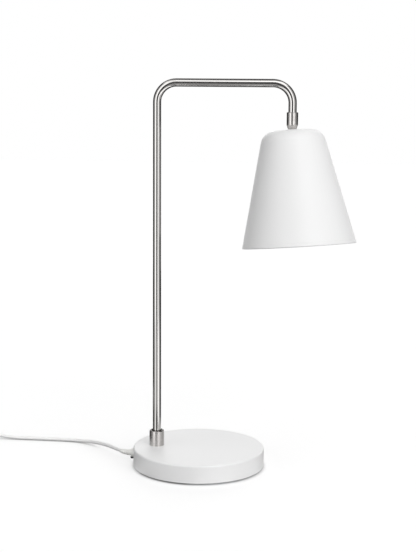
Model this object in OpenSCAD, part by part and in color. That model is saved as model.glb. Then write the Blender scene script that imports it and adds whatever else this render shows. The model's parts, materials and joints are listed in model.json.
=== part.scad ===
// Desk lamp with a round weighted base, a bent tube that swings in a collar,
// and a conical shade on a ball swivel. Millimetres. The origin is the centre
// of the base's underside, +Z is up, and +X points from the pole to the shade.

/* [Base] */
// Diameter of the base cover
base_d = 160; // [130:1:200]
// Height of the base cover's side
cover_h = 21.5; // [20:0.5:30]
// Sheet thickness of the base cover
cover_wall = 1.2; // [0.8:0.1:1.6]
// Radius of the base cover's top edge
cover_round = 2; // [1.7:0.1:5]
// Thickness of the cast weight
weight_t = 12; // [8:0.5:14]
// Thickness of the bottom plate
plate_t = 1.5; // [1:0.1:2]
// Thickness of the foam pad that the lamp stands on
pad_t = 2; // [1.6:0.1:4]
// How far the pad's edge stays inside the cover's edge
pad_inset = 5; // [3:0.5:15]
// Distance from the base's edge to the pole's axis
pole_inset = 28; // [26:0.5:40]
// Height of the cord's exit above the table
exit_z = 12; // [11.5:0.5:14]

/* [Tube] */
// Height of the whole lamp
lamp_h = 470; // [340:1:640]
// Distance from the pole's axis to the drop's axis
arm_reach = 160; // [110:1:220]
// Diameter of the tube
tube_d = 10; // [8.4:0.1:12]
// Wall of the tube
tube_wall = 1; // [0.8:0.1:1.2]
// Bend radius at the tube's centreline
bend_r = 23; // [18:0.5:40]
// Length of the straight tube below the second bend
drop_straight = 10.5; // [8:0.5:40]
// Outer diameter of the collar that the pole stands in
collar_d = 18; // [15.5:0.1:24]
// Height of the collar above the base
collar_h = 18.5; // [12:0.5:30]
// Swing of the arm to each side
swing_half = 90; // [45:5:100]

/* [Swivel] */
// Diameter of the ball
ball_d = 11.2; // [9.4:0.1:16]
// Wall of the cup that holds the ball
cup_wall = 1.25; // [1:0.05:2]
// Height of the cup above the ball's centre
cup_rise = 16; // [16:0.5:24]

/* [Shade] */
// Height of the shade
shade_h = 135; // [108:1:170]
// Diameter across the shade's top, at the corner that its rounding cuts off
shade_top_d = 70; // [56:1:90]
// Diameter of the shade's mouth
shade_mouth_d = 134.5; // [108:0.5:180]
// Radius that rounds the shade's top edge
shade_round = 16; // [8:1:20]
// Sheet thickness of the shade
shade_wall = 0.8; // [0.6:0.1:1.5]
// Width of the hem folded inward round the shade's mouth
hem_h = 4; // [3:0.5:8]
// Lean of the shade away from the vertical
shade_lean = 7.5; // [0:0.5:15]
// Heading of that lean, anticlockwise from the arm's own direction
shade_heading = -52; // [-180:1:180]

/* [Lampholder] */
// Diameter of the lampholder's barrel
holder_d = 28; // [26:0.5:36]
// Diameter of the socket that the bulb's cap screws into
socket_d = 14; // [14:0.1:17]
// Length of the socket's thread
socket_l = 16; // [14:0.5:20]

/* [Cord] */
// Diameter of the mains cord
cord_d = 4.6; // [4.2:0.1:5]
// Length of the in-line switch
switch_l = 60; // [54:1:70]
// Width of the in-line switch
switch_w = 24; // [22:0.5:30]
// Height of the in-line switch
switch_h = 15.5; // [15:0.5:20]
// Width of the plug across its pins
plug_w = 35.3; // [32:0.1:38]
// Thickness of the plug
plug_t = 13.7; // [13:0.1:15]

/* [Hidden] */
$fn = 64;

// Clearances
run_gap = 0.04;     // radial play of a part that turns in another
fit_gap = 0.05;     // play of a part that is put together and stays
face_gap = 0.05;    // between flat faces that turn on each other
cut = 1;            // how far a cutting shape runs past what it cuts

// Base
base_r = base_d / 2;
plate_z = pad_t + plate_t;
top_z = pad_t + cover_h;
under_z = top_z - cover_wall;
weight_z = under_z - weight_t;
weight_r = base_r - cover_wall - 4.8;
fixing_r = base_r - 22;
stud_r = 2.5;
stud_turns = [0, 100, -100];
nut_t = 4;
plate_screw_r = 2;
plate_screw_head_r = 4.2;
plate_screw_turns = [45, 135, -135, -45];
pole_x = pole_inset - base_r;

// Pole foot, from the base's top downward
tube_r = tube_d / 2;
bore_r = tube_r - tube_wall;
collar_r = collar_d / 2;
spigot_r = tube_r + 2;
spigot_l = 6;
lip_t = 1;
spigot_z = top_z - spigot_l;
tube_foot_z = spigot_z + lip_t + face_gap;
collar_nut_t = 3;
stop_r = tube_r + 0.5;
stop_h = 2;
tab_turn = 15;
wave_t = 0.5;
tab_z = spigot_z - wave_t - 2 * face_gap;
tab_t = 1;
foot_nut_t = 5.4;
foot_nut_z = tab_z - tab_t - face_gap - foot_nut_t;
nipple_r = bore_r - 0.02;
nipple_bore_r = nipple_r - 1.2;
nipple_z = foot_nut_z - 1;
nipple_grip = 22;
window_r = 18;
channel_w = 26;
cap_window_x = pole_x + 40;

// Tube
arm_z = lamp_h - tube_r;
drop_x = pole_x + arm_reach;
tube_end_z = arm_z - bend_r - drop_straight;
strip_z = tube_end_z + drop_straight - 1;

// Ball swivel, with heights above the ball's centre
ball_r = ball_d / 2;
ball_gap = 0.05;
cup_bore_r = ball_r + ball_gap;
cup_r = cup_bore_r + cup_wall;
mouth_z = -0.57 * ball_r;
mouth_r = sqrt(pow(cup_bore_r, 2) - pow(mouth_z, 2));
lip_z = -0.68 * ball_r;
lip_r = 0.9 * ball_r;
cup_taper_z = ball_r / 4;
journal_r = 3;
journal_bore_r = 2;
hub_t = 5.4;
hub_z = cup_rise - hub_t;
hub_washer_t = 0.5;
swivel_nut_t = 2.6;
swivel_nut_z = hub_z - hub_washer_t - 2 * face_gap - swivel_nut_t;
seat_z = ball_r / 2;
seat_top = swivel_nut_z - 1.1;
seat_bore_r = 3.4;
ball_z = tube_end_z - cup_rise;

// Head, with depths below the ball's centre
neck_r = ball_r / 2;
flange_r = 5.2;
flange_t = 0.9;
shade_z = -0.98 * ball_r;
flange_z = shade_z - flange_t - 0.05;
stem_r = 4;
stem_bore_r = 2.1;
stem_z = flange_z - 10.5;
shade_under = flange_z - shade_wall;
washer_t = 1;
shade_nut_t = 3.5;
cap_z = shade_under - washer_t - shade_nut_t - 0.2;
cap_h = 21.5;
cap_top_t = 3;
holder_r = holder_d / 2;
holder_wall = 1.5;
barrel_z = cap_z - cap_h;
thread_l = 6;
socket_r = socket_d / 2;
skirt_l = 6;
skirt_r = socket_r + 1.6;
floor_t = 3.5;
socket_floor_z = barrel_z - 2 - floor_t;
contact_room = 4.5;
contact_room_r = socket_r - 0.5;
socket_top_z = socket_floor_z - contact_room;
barrel_end_z = socket_top_z - socket_l - skirt_l;
terminal_x = socket_r - 1.5;
terminal_h = 6;
hem_crease_r = 0.25;
shade_slope = atan2((shade_mouth_d - shade_top_d) / 2, shade_h);

// Mains cord
cord_r = cord_d / 2;
core_r = 0.9;
relief_flange_l = 4;
relief_bend_r = 19;
relief_turn = 45;
lead_end_x = pole_x - 10.5;
clamp_x = pole_x - 16;
clamp_l = 7;
clamp_w = 22;
clamp_screw_y = 7.5;
cap_len = 16;
wire_cap_y = 8;
wire_cap_z = plate_z + 3.7;

// In-line switch and its cord entries
switch_x = -318;
switch_y = 75;
entry_z = 6.5;
entry_depth = 7;

// Coil: two layers of turns, wound inward below and outward above
coil_x = -386;
coil_y = 38.5;
coil_in_r = 16.5;
coil_out_r = 36.5;
coil_z = 1.1;

// Plug, which lies beside the coil
plug_x = -336;
plug_y = 2;
plug_z = plug_t / 2;
plug_l = 36;
tail_l = 22;
pin_l = 19;
pin_pitch = 18.6;

// Cord routes: points along the cord's centreline. Each shape below gives, point by point,
// how far the cord has come, its side if that changes, and the share of a height that is left.
lead_start_x = -(base_r + relief_flange_l + relief_bend_r * sin(relief_turn));
lead_start_y = relief_bend_r * (1 - cos(relief_turn));
lead_stop_x = switch_x + switch_l / 2 - entry_depth;
lead_run = 197.6;
lead_drop = [
    [0, lead_start_y, 1], [2.9, lead_start_y + 2.9, 1], [7.1, 13.6, 0.95], [12.1, 20.2, 0.89],
    [17.6, 27.6, 0.8], [23.6, 35.3, 0.71], [30.1, 43, 0.6], [37.1, 50.6, 0.47],
    [44.8, 58, 0.34], [52.6, 64.3, 0.22], [60.6, 69, 0.11], [68.6, 72.2, 0.04],
    [77.6, 74.2, 0.01], [86.6, 75, 0]
];
lead_rise = [
    [98.6, 75.2, 0], [111.6, 75.2, 0], [124.6, 75.2, 0], [137.6, 75.1, 0], [150.6, 75, 0.02],
    [162.6, 75, 0.17], [172.6, 75, 0.45], [181.6, 75, 0.81], [190.6, 75, 1], [lead_run, 75, 1]
];
function along(share, from, to) = from + share * (to - from);
function lead_part(shape, high_z) = [for (p = shape)
    [along(p[0] / lead_run, lead_start_x, lead_stop_x), p[1], along(p[2], cord_r, high_z)]];
lead_route = concat(lead_part(lead_drop, exit_z), lead_part(lead_rise, entry_z));

link_start_x = switch_x - switch_l / 2 + entry_depth;
link_shape = [[0, 1], [0.16, 1], [0.33, 0.74], [0.51, 0.36], [0.69, 0.1], [0.87, 0], [1, 0]];
link_route = [for (p = link_shape)
    [along(p[0], link_start_x, coil_x), switch_y, along(p[1], coil_z + cord_r, entry_z)]];

tail_stop_x = plug_x - tail_l + entry_depth;
tail_shape = [[0, 1], [0.29, 0.91], [0.54, 0.3], [0.8, 0], [1, 0]];
tail_route = [for (p = tail_shape)
    [along(p[0], coil_x, tail_stop_x), plug_y, along(p[1], plug_z, coil_z + cord_r + cord_d)]];

// ---- Helpers ----

// A ring of height h between two radii
module ring(outer, inner, h) {
    difference() {
        cylinder(r = outer, h = h);
        translate([0, 0, -cut]) cylinder(r = inner, h = h + 2 * cut);
    }
}

// A hexagon nut of height h, measured across its flats
module hex_nut(flats, bore, h) {
    difference() {
        cylinder(r = flats / sqrt(3), h = h, $fn = 6);
        translate([0, 0, -cut]) cylinder(r = bore, h = h + 2 * cut);
    }
}

// A rod of radius r that follows the lamp's tube from foot height z0 to drop height z1
module bent_rod(r, z0, z1) {
    turn_z = arm_z - bend_r;
    translate([pole_x, 0, z0]) cylinder(r = r, h = turn_z - z0);
    translate([pole_x + bend_r, 0, turn_z]) rotate([90, 0, 0]) rotate([0, 0, 90])
        rotate_extrude(angle = 90) translate([bend_r, 0]) circle(r);
    translate([pole_x + bend_r, 0, arm_z]) rotate([0, 90, 0])
        cylinder(r = r, h = arm_reach - 2 * bend_r);
    translate([drop_x - bend_r, 0, turn_z]) rotate([90, 0, 0])
        rotate_extrude(angle = 90) translate([bend_r, 0]) circle(r);
    translate([drop_x, 0, z1]) cylinder(r = r, h = turn_z - z1);
}

function unit(v) = v / norm(v);
function route_dir(p, i) = unit(p[min(i + 1, len(p) - 1)] - p[max(i - 1, 0)]);
function side_of(d) = abs(d[2]) > 0.9 ? unit(cross(d, [0, 1, 0])) : unit(cross(d, [0, 0, 1]));
function ring_points(p, i, r, sides) = let(
        d = route_dir(p, i),
        u = side_of(d),
        v = cross(d, u))
    [for (k = [0 : sides - 1]) p[i] + r * (cos(360 * k / sides) * u + sin(360 * k / sides) * v)];

// A round cord of radius r swept along the points p
module swept_cord(p, r, sides = 8) {
    last = len(p) - 1;
    points = [for (i = [0 : last]) each ring_points(p, i, r, sides)];
    walls = [for (i = [0 : last - 1], k = [0 : sides - 1]) let(k2 = (k + 1) % sides)
        each [[i * sides + k, i * sides + k2, (i + 1) * sides + k],
              [i * sides + k2, (i + 1) * sides + k2, (i + 1) * sides + k]]];
    start = [for (k = [1 : sides - 2]) [0, k + 1, k]];
    end = [for (k = [1 : sides - 2]) [last * sides, last * sides + k, last * sides + k + 1]];
    polyhedron(points = points, faces = concat(walls, start, end), convexity = 4);
}

// Mirrors its child across the lamp's own plane and keeps both
module both_sides() {
    children();
    mirror([0, 1, 0]) children();
}

// Frame at the cord's exit: +Z points out of the base's side
module at_exit() {
    translate([-base_r, 0, exit_z]) rotate([0, -90, 0]) children();
}

// Frame of the head: origin at the ball's centre, -Z down the shade's axis
module at_head() {
    translate([drop_x, 0, ball_z]) rotate([0, 0, shade_heading]) rotate([0, -shade_lean, 0])
        children();
}

// ---- Base ----

// Half section of the cover, shrunk by an inset
module cover_section(inset) {
    r = base_r - inset;
    h = cover_h - inset;
    edge = cover_round - inset;
    square([r - edge, h]);
    square([r, h - edge]);
    translate([r - edge, h - edge]) circle(edge);
}

module base_cover() {
    color("white") {
        difference() {
            translate([0, 0, pad_t]) rotate_extrude() intersection() {
                difference() {
                    cover_section(0);
                    translate([0, -cut]) square([base_r - cover_wall, 2 * cut]);
                    cover_section(cover_wall);
                }
                square([base_r + cut, cover_h + cut]);
            }
            translate([pole_x, 0, under_z - cut]) cylinder(r = spigot_r + fit_gap, h = 3 * cut);
            at_exit() translate([0, 0, -3 * cut]) cylinder(r = 4 + fit_gap, h = 6 * cut);
        }
        // weld studs that hold the weight up against the cover
        for (a = stud_turns) rotate([0, 0, a]) translate([fixing_r, 0, weight_z - nut_t - 1])
            cylinder(r = stud_r, h = weight_t + nut_t + 1);
    }
}

module base_weight() {
    edge = 2;
    color("dimgray") difference() {
        union() {
            translate([0, 0, weight_z]) rotate_extrude()
                polygon([[0, 0], [weight_r - edge, 0], [weight_r, edge],
                         [weight_r, weight_t], [0, weight_t]]);
            for (a = plate_screw_turns) rotate([0, 0, a]) translate([fixing_r, 0, plate_z])
                cylinder(r = 5, h = weight_z - plate_z + cut);
        }
        for (a = stud_turns) rotate([0, 0, a]) translate([fixing_r, 0, weight_z - cut])
            cylinder(r = stud_r + 0.3, h = weight_t + 2 * cut);
        for (a = plate_screw_turns) rotate([0, 0, a]) translate([fixing_r, 0, plate_z - cut])
            cylinder(r = plate_screw_r + fit_gap, h = 10);
        // window for the pole's foot and the wiring, open towards the cord's exit
        translate([pole_x, 0, weight_z - cut]) cylinder(r = window_r, h = weight_t + 2 * cut);
        translate([-base_r, -channel_w / 2, weight_z - cut])
            cube([cap_window_x + base_r, channel_w, weight_t + 2 * cut]);
    }
}

module weight_nuts() {
    color("silver") for (a = stud_turns) rotate([0, 0, a])
        translate([fixing_r, 0, weight_z - nut_t]) hex_nut(8, stud_r + fit_gap, nut_t);
}

module bottom_plate() {
    color("gray") difference() {
        translate([0, 0, pad_t]) cylinder(r = base_r - cover_wall - 0.4, h = plate_t);
        for (a = plate_screw_turns) rotate([0, 0, a]) translate([fixing_r, 0, 0])
            cylinder(r = plate_screw_r + 0.2, h = plate_z + cut);
    }
}

module plate_screws() {
    head_t = pad_t - 0.4;
    slot = [5, 0.8, 0.8];
    color("silver") for (a = plate_screw_turns) rotate([0, 0, a])
        translate([fixing_r, 0, pad_t]) difference() {
            union() {
                translate([0, 0, -head_t]) cylinder(r = plate_screw_head_r, h = head_t);
                cylinder(r = plate_screw_r, h = plate_t + 6);
            }
            for (turn = [0, 90]) rotate([0, 0, turn])
                translate([-slot[0] / 2, -slot[1] / 2, -head_t - cut]) cube(slot + [0, 0, cut]);
        }
}

module foot_pad() {
    color("dimgray") difference() {
        cylinder(r = base_r - pad_inset, h = pad_t);
        for (a = plate_screw_turns) rotate([0, 0, a]) translate([fixing_r, 0, -cut])
            cylinder(r = plate_screw_head_r + 0.8, h = pad_t + 2 * cut);
    }
}

// ---- Foot of the pole ----

module pole_collar() {
    recess_r = tube_r + 1.5;
    recess_h = 1.6;
    chamfer = 0.5;
    stop_gap = 2;
    stop_half = swing_half + tab_turn / 2 + stop_gap;
    color("silver") translate([pole_x, 0, 0]) difference() {
        translate([0, 0, spigot_z]) rotate_extrude() polygon([
            [bore_r + fit_gap, 0], [spigot_r, 0], [spigot_r, spigot_l], [collar_r, spigot_l],
            [collar_r, spigot_l + collar_h - chamfer], [collar_r - chamfer, spigot_l + collar_h],
            [recess_r, spigot_l + collar_h], [recess_r, spigot_l + collar_h - recess_h],
            [tube_r + run_gap, spigot_l + collar_h - recess_h], [tube_r + run_gap, lip_t],
            [bore_r + fit_gap, lip_t]]);
        // cut-away rim whose two ends stop the swing
        translate([0, 0, spigot_z - cut]) rotate([0, 0, -stop_half])
            rotate_extrude(angle = 2 * stop_half)
                translate([stop_r, 0]) square([spigot_r, stop_h + cut]);
    }
}

module collar_nut() {
    color("silver") translate([pole_x, 0, under_z - collar_nut_t])
        hex_nut(2 * (spigot_r + 2.5), spigot_r + fit_gap, collar_nut_t);
}

module wave_washer() {
    color("silver") translate([pole_x, 0, spigot_z - face_gap - wave_t])
        ring(stop_r - 0.2, nipple_r + fit_gap, wave_t);
}

module tab_washer() {
    color("silver") translate([pole_x, 0, 0]) {
        translate([0, 0, tab_z - tab_t]) ring(spigot_r + 0.6, nipple_r + fit_gap, tab_t);
        // tab that runs in the collar's cut-away rim
        translate([0, 0, tab_z - tab_t / 2]) rotate([0, 0, -tab_turn / 2])
            rotate_extrude(angle = tab_turn) translate([stop_r + 0.2, 0])
                square([spigot_r - stop_r - 0.4, stop_h + tab_t / 2]);
    }
}

module foot_nut() {
    color("silver") translate([pole_x, 0, foot_nut_z]) hex_nut(2 * (nipple_r + 2.5), nipple_r, foot_nut_t);
}

module foot_nipple() {
    color("silver") translate([pole_x, 0, nipple_z])
        ring(nipple_r, nipple_bore_r, tube_foot_z + nipple_grip - nipple_z);
}

// ---- Wiring inside the base ----

// A rod along the bend that the lead takes outside the base, between two angles of it
module lead_bend(r, from, to) {
    translate([-base_r - relief_flange_l, relief_bend_r, exit_z]) mirror([1, 0, 0])
        rotate([0, 0, from - 90]) rotate_extrude(angle = to - from)
            translate([relief_bend_r, 0]) circle(r);
}

// Strain relief: a head inside the cover, a collar outside it, and a ribbed sleeve that
// bends with the lead
module strain_relief() {
    head_l = 4.7;
    inner_z = -cover_wall - 0.3;
    sleeve_r = 3.7;
    tip_r = 2.9;
    groove = 0.45;
    ribs = 5;
    pitch = relief_turn / ribs;
    rib_share = 0.62;
    hole_r = cord_r + fit_gap;
    color("white") difference() {
        union() {
            at_exit() rotate_extrude() union() {
                translate([0, inner_z - head_l]) square([6, head_l]);
                translate([0, inner_z - cut]) square([4, 0.5 - inner_z + cut]);
                translate([0, 0.2]) square([5.2, relief_flange_l - 0.7]);
                translate([0, 0.2]) square([4.7, relief_flange_l - 0.2]);
                translate([4.7, relief_flange_l - 0.5]) circle(0.5);
            }
            lead_bend(tip_r - groove / 2, 0, relief_turn);
            for (k = [0 : ribs - 1])
                lead_bend(along(k / (ribs - 1), sleeve_r, tip_r), k * pitch, (k + rib_share) * pitch);
        }
        at_exit() translate([0, 0, inner_z - head_l - cut])
            cylinder(r = hole_r, h = relief_flange_l + head_l + cut - inner_z);
        lead_bend(hole_r, 0, relief_turn + 3);
    }
}

module base_lead() {
    color("white") {
        translate([-base_r - relief_flange_l, 0, exit_z]) rotate([0, 90, 0])
            cylinder(r = cord_r, h = lead_end_x + base_r + relief_flange_l);
        lead_bend(cord_r, 0, relief_turn);
    }
}

// Lower jaw of the clamp that grips the lead, standing on the bottom plate
module cord_clamp() {
    color("ivory") difference() {
        translate([clamp_x - clamp_l / 2, -clamp_w / 2, plate_z])
            cube([clamp_l, clamp_w, exit_z - 0.2 - plate_z]);
        translate([clamp_x - clamp_l, 0, exit_z]) rotate([0, 90, 0])
            cylinder(r = cord_r + 0.02, h = 2 * clamp_l);
        both_sides() translate([clamp_x, clamp_screw_y, plate_z + 1.5])
            cylinder(r = 1.5 + fit_gap, h = exit_z);
    }
}

module clamp_bar() {
    bar_t = 4;
    color("ivory") difference() {
        translate([clamp_x - clamp_l / 2, -clamp_w / 2, exit_z + 0.2])
            cube([clamp_l, clamp_w, bar_t]);
        translate([clamp_x - clamp_l, 0, exit_z]) rotate([0, 90, 0])
            cylinder(r = cord_r + 0.02, h = 2 * clamp_l);
        both_sides() translate([clamp_x, clamp_screw_y, exit_z])
            cylinder(r = 1.5 + fit_gap, h = bar_t + 2 * cut);
    }
}

module clamp_screws() {
    head_z = exit_z + 0.2 + 4;
    color("silver") both_sides() translate([clamp_x, clamp_screw_y, 0]) difference() {
        union() {
            translate([0, 0, plate_z + 2]) cylinder(r = 1.5, h = head_z - plate_z - 2);
            translate([0, 0, head_z]) cylinder(r = 2.8, h = 1.6);
        }
        translate([-3, -0.4, head_z + 0.8]) cube([6, 0.8, cut]);
    }
}

// Cores in the base: each supply core meets a lamp core in its cap
module base_cores() {
    x = pole_x;
    zc = wire_cap_z;
    supply = [[lead_end_x, 1.2, exit_z], [lead_end_x + 0.6, 1.2, exit_z],
              [x - 9.3, 3.6, exit_z - 0.8], [x - 7.6, 6.8, 9.7], [x - 4, 9.3, 8.2],
              [x + 2, 10, 7.5], [x + 10, 9.6, zc], [x + 18, 8.9, zc], [x + 24, 8.9, zc]];
    lamp = [[x, 1, nipple_z - 0.3], [x + 0.1, 1.1, nipple_z - 1.4], [x + 0.9, 1.6, plate_z + 3.1],
            [x + 3.2, 2.7, plate_z + 2.1], [x + 7.5, 4.2, plate_z + 2], [x + 12.5, 5.8, plate_z + 2.6],
            [x + 18, 7.1, zc - 0.2], [x + 24, 7.1, zc]];
    color("saddlebrown") both_sides() {
        swept_cord(supply, core_r);
        swept_cord(lamp, core_r);
    }
}

module wire_caps() {
    color("lightgray") both_sides()
        translate([pole_x + 17, wire_cap_y, wire_cap_z]) rotate([0, 90, 0]) difference() {
            rotate_extrude() polygon([[0, 0], [3.6, 0], [3.6, 5], [2.4, cap_len - 0.6],
                                      [1.8, cap_len], [0, cap_len]]);
            translate([0, 0, -cut]) cylinder(r = 2.1, h = 9 + cut);
        }
}

// ---- Arm ----

module lamp_tube() {
    color("silver") difference() {
        bent_rod(tube_r, tube_foot_z, tube_end_z);
        bent_rod(bore_r, tube_foot_z - cut, tube_end_z - cut);
    }
}

// Sheathed cable along the tube
module tube_cable() {
    color("white") bent_rod(min(cord_r, nipple_bore_r - 0.4), nipple_z + 0.6, strip_z);
}

// Its two cores, bare of the sheath, that go on through the drop's nipple
module drop_cores() {
    end_z = ball_z + swivel_nut_z - 0.2;
    color("saddlebrown") both_sides() translate([drop_x, 0.95, end_z])
        cylinder(r = core_r, h = strip_z - end_z);
}

module end_nipple() {
    grip = drop_straight - 2.5;
    color("silver") translate([drop_x, 0, 0]) difference() {
        union() {
            translate([0, 0, tube_end_z]) cylinder(r = bore_r - 0.02, h = grip);
            translate([0, 0, ball_z + swivel_nut_z - 0.2])
                cylinder(r = journal_r, h = cup_rise - swivel_nut_z + 0.2);
        }
        translate([0, 0, ball_z]) cylinder(r = journal_bore_r, h = cup_rise + grip + cut);
    }
}

module swivel_nut() {
    color("silver") translate([drop_x, 0, ball_z + swivel_nut_z])
        hex_nut(2 * (cup_bore_r - 0.45) * cos(30), journal_r, swivel_nut_t);
}

module swivel_washer() {
    color("silver") translate([drop_x, 0, ball_z + hub_z - face_gap - hub_washer_t])
        ring(cup_bore_r - 0.3, journal_r + fit_gap, hub_washer_t);
}

// ---- Swivel ----

module swivel_cup() {
    chamfer = 0.4;
    color("silver") translate([drop_x, 0, ball_z]) rotate_extrude() difference() {
        polygon([[0, lip_z], [lip_r, lip_z], [cup_r, cup_taper_z],
                 [cup_r, cup_rise - chamfer - face_gap], [cup_r - chamfer, cup_rise - face_gap],
                 [0, cup_rise - face_gap]]);
        square([cup_bore_r, cup_rise + cut]);
        translate([0, lip_z - cut]) square([mouth_r, cut - lip_z]);
        circle(cup_bore_r);
    }
}

module swivel_hub() {
    color("silver") translate([drop_x, 0, ball_z + hub_z])
        ring(cup_bore_r - 0.02, journal_r + run_gap, hub_t - face_gap);
}

module ball_seat() {
    color("ivory") translate([drop_x, 0, ball_z]) rotate_extrude() difference() {
        translate([seat_bore_r, seat_z]) square([cup_bore_r - 0.05 - seat_bore_r, seat_top - seat_z]);
        circle(ball_r + ball_gap);
    }
}

module seat_spring() {
    color("silver") translate([drop_x, 0, ball_z + seat_top + face_gap])
        ring(cup_bore_r - 0.3, seat_bore_r, swivel_nut_z - seat_top - 2 * face_gap);
}

// ---- Head ----

module ball_stem() {
    flare_r = 3.6;
    color("silver") at_head() rotate_extrude() difference() {
        union() {
            circle(ball_r);
            translate([0, flange_z]) square([neck_r, -flange_z]);
            translate([0, flange_z]) square([flange_r, flange_t]);
            translate([0, stem_z]) square([stem_r, flange_z - stem_z]);
        }
        translate([-2 * ball_r, stem_z - cut]) square([2 * ball_r, 2 * ball_r - stem_z]);
        translate([0, stem_z - cut]) square([stem_bore_r, ball_r - stem_z + 2 * cut]);
        polygon([[0, 0.8], [stem_bore_r, 0.8], [flare_r, ball_r], [0, ball_r]]);
    }
}

// Solid inside the shade's surface, shrunk by an inset measured square to it.
// The top is flat, the side is a cone, and one arc joins them.
module shade_form(inset) {
    top_r = shade_top_d / 2;
    mouth_r = shade_mouth_d / 2;
    arc_x = top_r - shade_round / tan((90 + shade_slope) / 2);
    r = shade_round - inset;
    skirt = inset > 0 ? cut : 0;
    rotate_extrude() translate([0, shade_z]) difference() {
        polygon([[0, -inset], [arc_x, -inset], [arc_x + r * tan((90 - shade_slope) / 2), -inset],
                 [mouth_r - inset / cos(shade_slope) + skirt * tan(shade_slope), -shade_h - skirt],
                 [0, -shade_h - skirt]]);
        // corner outside the arc
        difference() {
            polygon([[arc_x, cut], [arc_x + 2 * r, cut],
                     [arc_x + 2 * r, 2 * r * tan(shade_slope) - shade_round], [arc_x, -shade_round]]);
            translate([arc_x, -shade_round]) circle(r);
        }
    }
}

module shade() {
    mouth_r = shade_mouth_d / 2;
    fold_r = shade_wall - 0.02;
    dish_r = flange_r + 0.3;
    fold_x = mouth_r - shade_wall / cos(shade_slope) - shade_wall * tan(shade_slope);
    module at_fold() {
        translate([fold_x, shade_z - shade_h + shade_wall]) rotate(shade_slope) children();
    }
    color("white") at_head() difference() {
        union() {
            difference() {
                shade_form(0);
                shade_form(shade_wall);
                translate([0, 0, shade_z - shade_h - cut]) cylinder(r = mouth_r, h = shade_wall + cut);
            }
            // dish that the stem's flange sits in, flush with the top
            rotate_extrude() polygon([[0, shade_under], [dish_r + shade_wall, shade_under],
                                      [dish_r + 2 * shade_wall, shade_z - shade_wall / 2],
                                      [0, shade_z - shade_wall / 2]]);
            // hem: a second layer of sheet inside the mouth, closed by a half-round fold
            rotate_extrude() union() {
                at_fold() circle(fold_r);
                at_fold() translate([-fold_r, 0]) square([1.5 * fold_r, hem_h - shade_wall]);
            }
        }
        rotate_extrude() polygon([[0, flange_z], [dish_r, flange_z],
                                  [dish_r + shade_wall, shade_z], [dish_r + shade_wall, shade_z + cut],
                                  [0, shade_z + cut]]);
        translate([0, 0, shade_under - cut]) cylinder(r = stem_r + 0.1, h = shade_wall + 2 * cut);
        // crease that the folding leaves outside
        rotate_extrude() at_fold()
            translate([shade_wall + 0.05, hem_h - shade_wall]) circle(hem_crease_r);
    }
}

module shade_washer() {
    color("silver") at_head() translate([0, 0, shade_under - washer_t])
        ring(9, stem_r + 0.1, washer_t);
}

module shade_nut() {
    color("silver") at_head() translate([0, 0, shade_under - washer_t - shade_nut_t])
        hex_nut(13, stem_r + fit_gap, shade_nut_t);
}

module holder_cap() {
    dome_r = 6;
    color("white") at_head() rotate_extrude() difference() {
        union() {
            translate([0, barrel_z]) square([holder_r, cap_h - dome_r]);
            translate([0, barrel_z]) square([holder_r - dome_r, cap_h]);
            translate([holder_r - dome_r, cap_z - dome_r]) circle(dome_r);
        }
        translate([0, barrel_z - cut]) square([holder_r - holder_wall, cap_h - cap_top_t - 2 + cut]);
        translate([0, barrel_z]) square([stem_r + fit_gap, cap_h + cut]);
    }
}

// Barrel with the bulb's socket, a room for the contacts above it and a floor with their slots
module holder_barrel() {
    rim_r = holder_r + 1.2;
    neck = holder_r - holder_wall - fit_gap;
    leg = [1.1, 3.3];
    color("white") at_head() difference() {
        rotate_extrude() polygon([
            [0, socket_floor_z], [contact_room_r, socket_floor_z],
            [contact_room_r, socket_top_z], [socket_r, socket_top_z],
            [socket_r, barrel_end_z + skirt_l], [skirt_r, barrel_end_z + skirt_l],
            [skirt_r, barrel_end_z + 0.6], [skirt_r + 0.6, barrel_end_z], [rim_r, barrel_end_z],
            [rim_r, barrel_end_z + 2], [holder_r, barrel_end_z + 3.5], [holder_r, barrel_z - 0.2],
            [neck, barrel_z - 0.2], [neck, barrel_z + thread_l], [neck - 1.5, barrel_z + thread_l],
            [neck - 1.5, socket_floor_z + floor_t], [0, socket_floor_z + floor_t]]);
        for (s = [-1, 1]) translate([s * terminal_x - leg[0] / 2, -leg[1] / 2, socket_floor_z - cut])
            cube([leg[0], leg[1], floor_t + 2 * cut]);
    }
}

// Brass contacts: a sprung tongue for the bulb's tip, a side tab for its thread,
// and a leg from each through the floor to its terminal
module holder_contacts() {
    leg = [0.9, 3];
    block = 5;
    top_z = socket_floor_z + floor_t;
    color("goldenrod") at_head() {
        for (s = [-1, 1]) translate([s * terminal_x, 0, 0]) {
            translate([-leg[0] / 2, -leg[1] / 2, socket_floor_z - 0.4])
                cube([leg[0], leg[1], floor_t + 0.6]);
            difference() {
                translate([-block / 2, -block / 2, top_z + 0.1]) cube([block, block, terminal_h]);
                translate([0, 0, top_z + 1.5]) cylinder(r = core_r + 0.1, h = terminal_h, $fn = 24);
                translate([0, 0, top_z + terminal_h / 2]) rotate([-90, 0, 0])
                    cylinder(r = 1.2, h = block, $fn = 24);
            }
        }
        // tongue under the bulb's tip
        translate([-terminal_x - leg[0] / 2, -leg[1] / 2, socket_floor_z - 0.9])
            cube([terminal_x + leg[0] / 2 + 1.5, leg[1], 0.5]);
        translate([0, 0, socket_floor_z - 3.2]) cylinder(r = 1.4, h = 2.5, $fn = 32);
        // side tab
        translate([terminal_x - leg[0] / 2, -leg[1] / 2, socket_floor_z - 4])
            cube([0.6, leg[1], 3.8]);
    }
}

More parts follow.
